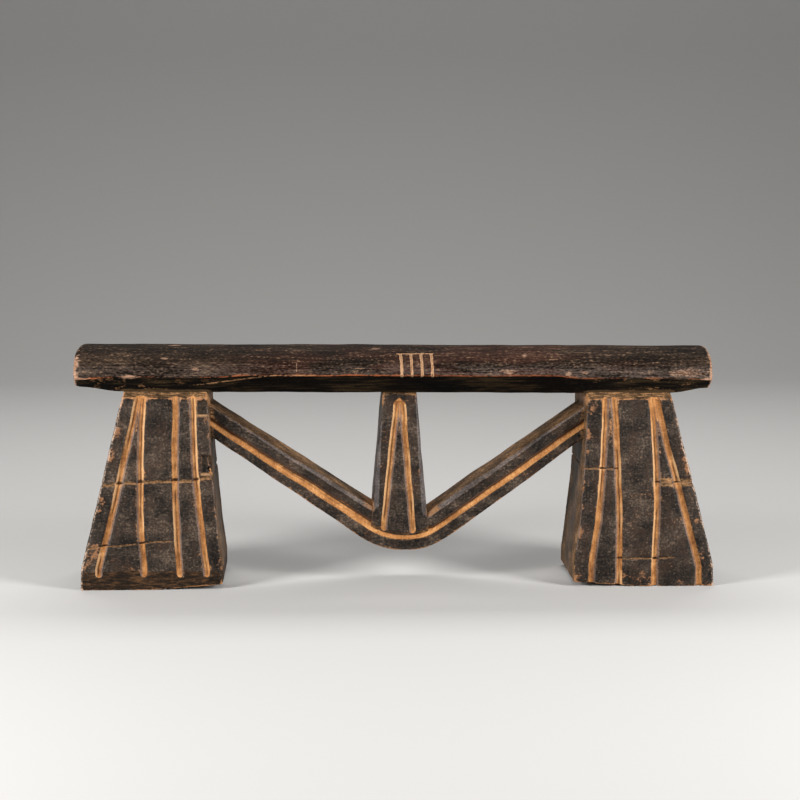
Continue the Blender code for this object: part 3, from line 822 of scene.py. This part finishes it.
def comb_mark():
    """The tree that cuts a row of strokes under one line into the front of the bar."""
    tree, given = new_tree("comb_mark", (
        ("Geometry", "Geometry"),
        ("First stroke", "Vector"),
        ("Strokes", "Int"),
        ("Spacing", "Vector"),
        ("Stroke", "Vector"),
        ("Line", "Vector"),
        ("Width", "Float"),
        ("Depth", "Float"),
        ("Wood", "Material"),
    ))
    place = tree.nodes.new("GeometryNodeInputPosition").outputs[0]
    starts = join(tree, "GeometryNodeMeshLine", {
        "Count": given["Strokes"], "Start Location": given["First stroke"], "Offset": given["Spacing"],
    }).outputs[0]
    stroke = join(tree, "GeometryNodeCurvePrimitiveLine", {"End": given["Stroke"]}).outputs[0]
    strokes = join(tree, "GeometryNodeInstanceOnPoints", {"Points": starts, "Instance": stroke}).outputs[0]
    strokes = join(tree, "GeometryNodeRealizeInstances", {"Geometry": strokes}).outputs[0]
    line_start = reckon_vector(tree, "SUBTRACT", given["First stroke"], line_overhang)
    line_end = reckon_vector(tree, "ADD", line_start, given["Line"])
    line = join(tree, "GeometryNodeCurvePrimitiveLine", {"Start": line_start, "End": line_end}).outputs[0]

    half_width = reckon(tree, "MULTIPLY", given["Width"], 0.5)

    def groove(curve):
        """A rounded groove along a curve that is laid on the front of the bar."""
        sockets = {"Curve": curve, "Length": 0.0005}
        fine = join(tree, "GeometryNodeResampleCurve", sockets, mode="LENGTH").outputs[0]
        hit = join(tree, "GeometryNodeRaycast", {
            "Target Geometry": given["Geometry"], "Ray Direction": (0.0, 1.0, 0.0), "Ray Length": 0.2,
        }).outputs["Hit Position"]
        laid = join(tree, "GeometryNodeSetPosition", {"Geometry": fine, "Position": hit}).outputs[0]
        chain = join(tree, "GeometryNodeCurveToMesh", {"Curve": laid}).outputs[0]
        wobble = mottle(tree, place, (0.003, 0.003, 0.003), 2.0, 31.0)
        off = blend(tree, (distance_to(tree, chain, place, "EDGES"), 1.0), (wobble, stroke_wobble))
        edge = reckon(tree, "ADD", half_width, stroke_wobble / 2)
        return fade(tree, off, edge, reckon(tree, "MULTIPLY", edge, 0.45))

    comb = reckon(tree, "MAXIMUM", groove(strokes), groove(line))
    wood = keep(tree, given["Geometry"], "comb", comb)
    end_tree(tree, sink(tree, wood, product(tree, kept(tree, "comb"), given["Depth"])), given["Wood"])
    return tree


def handled_wood(name, dings):
    """Hardwood darkened by smoke and hands, with streaks along the grain and worn, reddish arrises."""
    crest_black = (0.0075, 0.0040, 0.0022, 1.0)
    painted_sheen_grey = (0.082, 0.065, 0.058, 1.0)
    fleck_tan = (0.210, 0.128, 0.074, 1.0)
    flaked_brown = (0.190, 0.096, 0.042, 1.0)
    corner_brown = (0.075, 0.046, 0.023, 1.0)
    rubbed_red = (0.270, 0.076, 0.026, 1.0)
    adze_tan = (0.300, 0.160, 0.078, 1.0)
    material = bpy.data.materials.new(name)
    material.use_nodes = True
    tree = material.node_tree
    shader = tree.nodes["Principled BSDF"]
    shader.inputs["Specular IOR Level"].default_value = 0.06
    place = tree.nodes.new("ShaderNodeTexCoord").outputs["Object"]
    x, y, z = split(tree, place)
    facing = split(tree, tree.nodes.new("ShaderNodeNewGeometry").outputs["Normal"])
    blotch = mottle(tree, place, (0.040, 0.014, 0.010), 3.0, 11.0)
    streak = mottle(tree, place, (0.018, 0.0032, 0.0010), 4.0, 12.0)
    speck = mottle(tree, place, (0.0021, 0.0019, 0.0009), 3.0, 13.0)
    patch = mottle(tree, place, (0.010, 0.007, 0.005), 4.0, 14.0)
    reddened = mottle(tree, place, (0.050, 0.018, 0.008), 2.0, 15.0)

    # Smoked skin: streaked black-brown, reddened in the middle, with tan flecks, and a painted grey sheen
    # on the lower front
    tone = blend(tree, (blotch, 0.27), (streak, 0.33), (speck, 0.40))
    colour = ramp(
        tree, tone,
        (0.40, (0.0028, 0.0017, 0.0011)),
        (0.47, (0.0110, 0.0066, 0.0041)),
        (0.54, (0.0360, 0.0224, 0.0142)),
        (0.62, (0.1000, 0.0620, 0.0380)),
    )
    from_reddest = reckon(tree, "ABSOLUTE", reckon(tree, "SUBTRACT", x, reddest_place))
    middle = fade(tree, from_reddest, 0.16, 0.06)
    red = product(tree, fade(tree, reddened, 0.42, 0.58), middle, 0.65)
    reddish = ramp(
        tree, tone,
        (0.38, (0.008, 0.0035, 0.0022)), (0.50, (0.040, 0.0150, 0.0088)), (0.64, (0.130, 0.060, 0.038)),
    )
    colour = layer(tree, colour, reddish, red)
    darker = product(tree, fade(tree, z, 0.140, 0.149), fade(tree, x, 0.10, -0.02), 0.35)
    colour = layer(tree, colour, crest_black, darker)
    # Painted sheen: wood that faces the front is laid greyer, more so towards the right
    painted_sheen = product(
        tree,
        reckon(tree, "MULTIPLY_ADD", fade(tree, x, -0.05, 0.05), 0.20, 0.25),
        fade(tree, facing["Y"], -0.70, -0.95),
        fade(tree, tone, 0.42, 0.56),
    )
    colour = layer(tree, colour, painted_sheen_grey, painted_sheen)
    fleck = fade(tree, blend(tree, (streak, 0.40), (speck, 0.60)), 0.565, 0.645)
    colour = layer(tree, colour, fleck_tan, product(tree, fleck, 0.60))
    bare = ramp(
        tree, blend(tree, (streak, 0.3), (speck, 0.4), (patch, 0.3)),
        (0.36, (0.150, 0.066, 0.038)), (0.50, (0.290, 0.168, 0.106)), (0.64, (0.460, 0.300, 0.208)),
    )
    underneath = fade(tree, facing["Z"], -0.10, -0.45)
    # Painted shade: the underside is laid nearly black, with warm streaks
    painted_underside_shade = ramp(
        tree, blend(tree, (streak, 0.5), (blotch, 0.5)),
        (0.42, (0.0009, 0.0007, 0.0005)), (0.51, (0.0026, 0.0019, 0.0011)), (0.60, (0.026, 0.016, 0.007)),
    )
    colour = layer(tree, colour, painted_underside_shade, product(tree, underneath, 0.95))
    from_middle = reckon(tree, "ABSOLUTE", reckon(tree, "SUBTRACT", x, bar_middle))
    flaked = product(
        tree,
        fade(tree, blend(tree, (patch, 0.6), (speck, 0.4)), 0.54, 0.62),
        underneath,
        fade(tree, from_middle, 0.10, 0.16),
        0.7,
    )
    colour = layer(tree, colour, flaked_brown, flaked)
    corner = fade(tree, blend(tree, (patch, 0.9), (read(tree, "root"), 0.9)), 0.65, 1.2)
    colour = layer(tree, colour, corner_brown, product(tree, corner, 0.8))

    # Arrises rubbed red, the edge of an adze stroke, and pale wear at the ends and on the dings
    ridge = read(tree, "ridge")
    rubbed = product(
        tree,
        fade(tree, blend(tree, (ridge, 1.0), (patch, 1.2), (speck, 0.8), (middle, 0.15)), 1.52, 1.90),
        reckon(tree, "MULTIPLY_ADD", fade(tree, x, 0.03, -0.02), 0.40, 0.45),
        fade(tree, facing["Z"], -0.80, -0.50),
    )
    colour = layer(tree, colour, rubbed_red, rubbed)
    climb = reckon(tree, "MULTIPLY_ADD", reckon(tree, "SUBTRACT", x, adze_start), adze_slope, adze_height)
    off_line = reckon(tree, "SUBTRACT", z, reckon(tree, "MINIMUM", climb, adze_highest))
    adze_line = product(
        tree,
        fade(tree, reckon(tree, "ABSOLUTE", off_line), 0.0006, 0.0002),
        fade(tree, x, adze_start - 0.006, adze_start),
        fade(tree, x, adze_end, adze_end - 0.030),
        fade(tree, y, 0.0, -0.01),
        fade(tree, blend(tree, (speck, 0.6), (patch, 0.4)), 0.42, 0.54),
    )
    colour = layer(tree, colour, adze_tan, product(tree, adze_line, 0.8))
    at_end = fade(tree, from_middle, 0.185, bar_half_length)
    wear = fade(tree, blend(tree, (ridge, 0.9), (patch, 1.5), (speck, 0.8), (at_end, 0.5)), 1.95, 2.35)
    colour = layer(tree, colour, bare, product(tree, wear, 0.85))
    for ding_place, ding_reach in dings:
        off = reckon_vector(tree, "DIVIDE", reckon_vector(tree, "SUBTRACT", place, ding_place), ding_reach)
        near = blend(tree, (along(tree, off, off), -0.25), (speck, 0.5), (patch, 0.9))
        colour = layer(tree, colour, bare, product(tree, fade(tree, near, 0.42, 0.76), 0.65))

    # Comb mark, scored down to fresh wood
    comb = fade(tree, read(tree, "comb"), 0.30, 0.60)
    scored = mottle(tree, place, (0.0005, 0.0005, 0.012), 2.0, 16.0)
    fresh = ramp(
        tree, scored,
        (0.34, (0.140, 0.062, 0.028)), (0.48, (0.380, 0.210, 0.110)), (0.62, (0.500, 0.310, 0.180)),
    )
    colour = layer(tree, colour, fresh, comb)
    tree.links.new(colour, shader.inputs["Base Color"])

    # Polish from hands on the front, the back and the ends, and dry wood elsewhere and in the comb mark
    handled = product(tree, fade(tree, facing["Z"], 0.90, 0.40), fade(tree, facing["Z"], -0.30, 0.0))
    dry = reckon(tree, "MAXIMUM", comb, reckon(tree, "SUBTRACT", 1.0, handled))
    polish = reckon(tree, "MULTIPLY_ADD", tone, 0.6, 0.12)
    rough = join(tree, "ShaderNodeMix", {0: dry, 2: polish, 3: 0.85}, data_type="FLOAT").outputs[0]
    tree.links.new(rough, shader.inputs["Roughness"])
    bump = join(tree, "ShaderNodeBump", {"Strength": 0.7, "Distance": 0.0008, "Height": tone})
    tree.links.new(bump.outputs[0], shader.inputs["Normal"])
    return material


# Each ding on the bar's front and crest: its middle, and how far it reaches along x, y and z
bar_dings = (
    ((0.1078, -0.0365, 0.1350), (0.0026, 0.006, 0.0013)),
    ((0.1177, -0.0360, 0.1362), (0.0028, 0.006, 0.0013)),
    ((0.0699, -0.0360, 0.1369), (0.0062, 0.006, 0.0014)),
    ((0.0812, -0.0295, 0.1465), (0.0018, 0.006, 0.0018)),
    ((0.1829, -0.0360, 0.1359), (0.0130, 0.008, 0.0030)),
    ((-0.1252, -0.0350, 0.1391), (0.0030, 0.006, 0.0018)),
    ((-0.1665, -0.0360, 0.1341), (0.0080, 0.006, 0.0016)),
    ((-0.0622, -0.0350, 0.1394), (0.0004, 0.006, 0.0026)),
    ((-0.1440, -0.0310, 0.1453), (0.0034, 0.006, 0.0008)),
    ((-0.1391, -0.0012, 0.1511), (0.0048, 0.005, 0.0020)),
    ((-0.0121, -0.0166, 0.1495), (0.0042, 0.004, 0.0012)),
    ((0.0852, -0.0075, 0.1500), (0.0060, 0.005, 0.0020)),
)
# The edge of an adze stroke low on the bar's front: its start and end along x, its height at the start, its
# slope, and the height that it levels off at
adze_start = -0.1243
adze_end = -0.0350
adze_height = 0.1288
adze_slope = 0.131
adze_highest = 0.1349
bar_wood = handled_wood("bar_wood", bar_dings)
bar_sizes = {
    "Flute depth": no_flutes,
    "Sway": bar_sway,
    "Tool mark depth": bar_tool_mark_depth,
    "Chip depth": bar_chip_depth,
    "Seed": bar_seed,
    "Wood": bar_wood,
}
comb_sizes = {
    "First stroke": comb_start,
    "Strokes": stroke_count,
    "Spacing": (stroke_spacing, 0.0, 0.0),
    "Stroke": (stroke_lean, 0.0, -stroke_length),
    "Line": (stroke_spacing * (stroke_count - 1) + stroke_width, 0.0, 0.0),
    "Width": stroke_width,
    "Depth": stroke_depth,
    "Wood": bar_wood,
}
rest_bar = carve(
    "rest_bar", [], 0.0, bar_voxel, bar_kept_share, bar_sizes, late_trees=[(comb_mark(), comb_sizes)],
)
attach(rest_bar, "root")
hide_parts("rest_bar")


# Studio
# A plain pale sweep of paper, which runs under the headrest and curves up behind it.
# Two softboxes light the headrest from the front, left and right, and a wide one from high behind it.
sweep_front = -16.0
sweep_depth = 2.2
sweep_width = 24.0
sweep_radius = 1.0
sweep_height = 3.0
sweep_steps = 16
profile = [(sweep_front, 0.0)]
for step in range(sweep_steps + 1):
    turn = math.pi / 2 * step / sweep_steps
    profile.append((sweep_depth - sweep_radius * (1 - math.sin(turn)), sweep_radius * (1 - math.cos(turn))))
profile.append((sweep_depth, sweep_height))
shape = bmesh.new()
rows = [[shape.verts.new((x, y, z)) for y, z in profile] for x in (-sweep_width / 2, sweep_width / 2)]
for i in range(len(profile) - 1):
    shape.faces.new((rows[0][i], rows[1][i], rows[1][i + 1], rows[0][i + 1]))
sweep = new_piece("studio_sweep", shape)
sweep.data.shade_smooth()
paper = bpy.data.materials.new("pale_paper")
paper.use_nodes = True
paper_shader = paper.node_tree.nodes["Principled BSDF"]
paper_shader.inputs["Base Color"].default_value = (0.50, 0.49, 0.475, 1.0)
paper_shader.inputs["Roughness"].default_value = 0.9
sweep.data.materials.append(paper)


def softbox(name, place, target, size, power):
    """A large soft lamp that faces a point."""
    lamp = bpy.data.lights.new(name, "AREA")
    lamp.shape = "RECTANGLE"
    lamp.size, lamp.size_y = size
    lamp.energy = power
    holder = bpy.data.objects.new(name, lamp)
    holder.location = place
    holder.rotation_euler = (Vector(place) - Vector(target)).to_track_quat("Z", "Y").to_euler()
    bpy.context.scene.collection.objects.link(holder)


lit_point = (0.0, 0.0, 0.08)
front_box_size = (0.35, 0.5)
front_box_power = 15.5
back_box_size = (1.2, 0.5)
back_box_power = 12.0
softbox("left_softbox", (-0.85, -0.65, 0.45), lit_point, front_box_size, front_box_power)
softbox("right_softbox", (0.85, -0.65, 0.45), lit_point, front_box_size, front_box_power)
softbox("back_softbox", (0.0, 0.80, 1.25), lit_point, back_box_size, back_box_power)
world = bpy.data.worlds.new("studio")
world.use_nodes = True
surrounding_light = world.node_tree.nodes["Background"]
surrounding_light.inputs["Color"].default_value = (1.0, 1.0, 1.0, 1.0)
surrounding_light.inputs["Strength"].default_value = 0.15
bpy.context.scene.world = world
bpy.context.scene.view_settings.view_transform = "Standard"


# Camera
# It stands where the photograph was taken from, a little left of the middle and above the bar's crest.
# It looks slightly down, through a long lens.
camera_place = (-0.05065, -1.4158, 0.2765)
camera_azimuth = math.radians(-2.2)
camera_elevation = math.radians(6.5)
camera_data = bpy.data.cameras.new("camera")
camera_data.lens = 100.0
camera_data.sensor_width = 36.0
camera = bpy.data.objects.new("camera", camera_data)
backwards = Vector((
    math.sin(camera_azimuth) * math.cos(camera_elevation),
    -math.cos(camera_azimuth) * math.cos(camera_elevation),
    math.sin(camera_elevation),
))
camera.location = camera_place
camera.rotation_euler = backwards.to_track_quat("Z", "Y").to_euler()
bpy.context.scene.collection.objects.link(camera)
bpy.context.scene.camera = camera
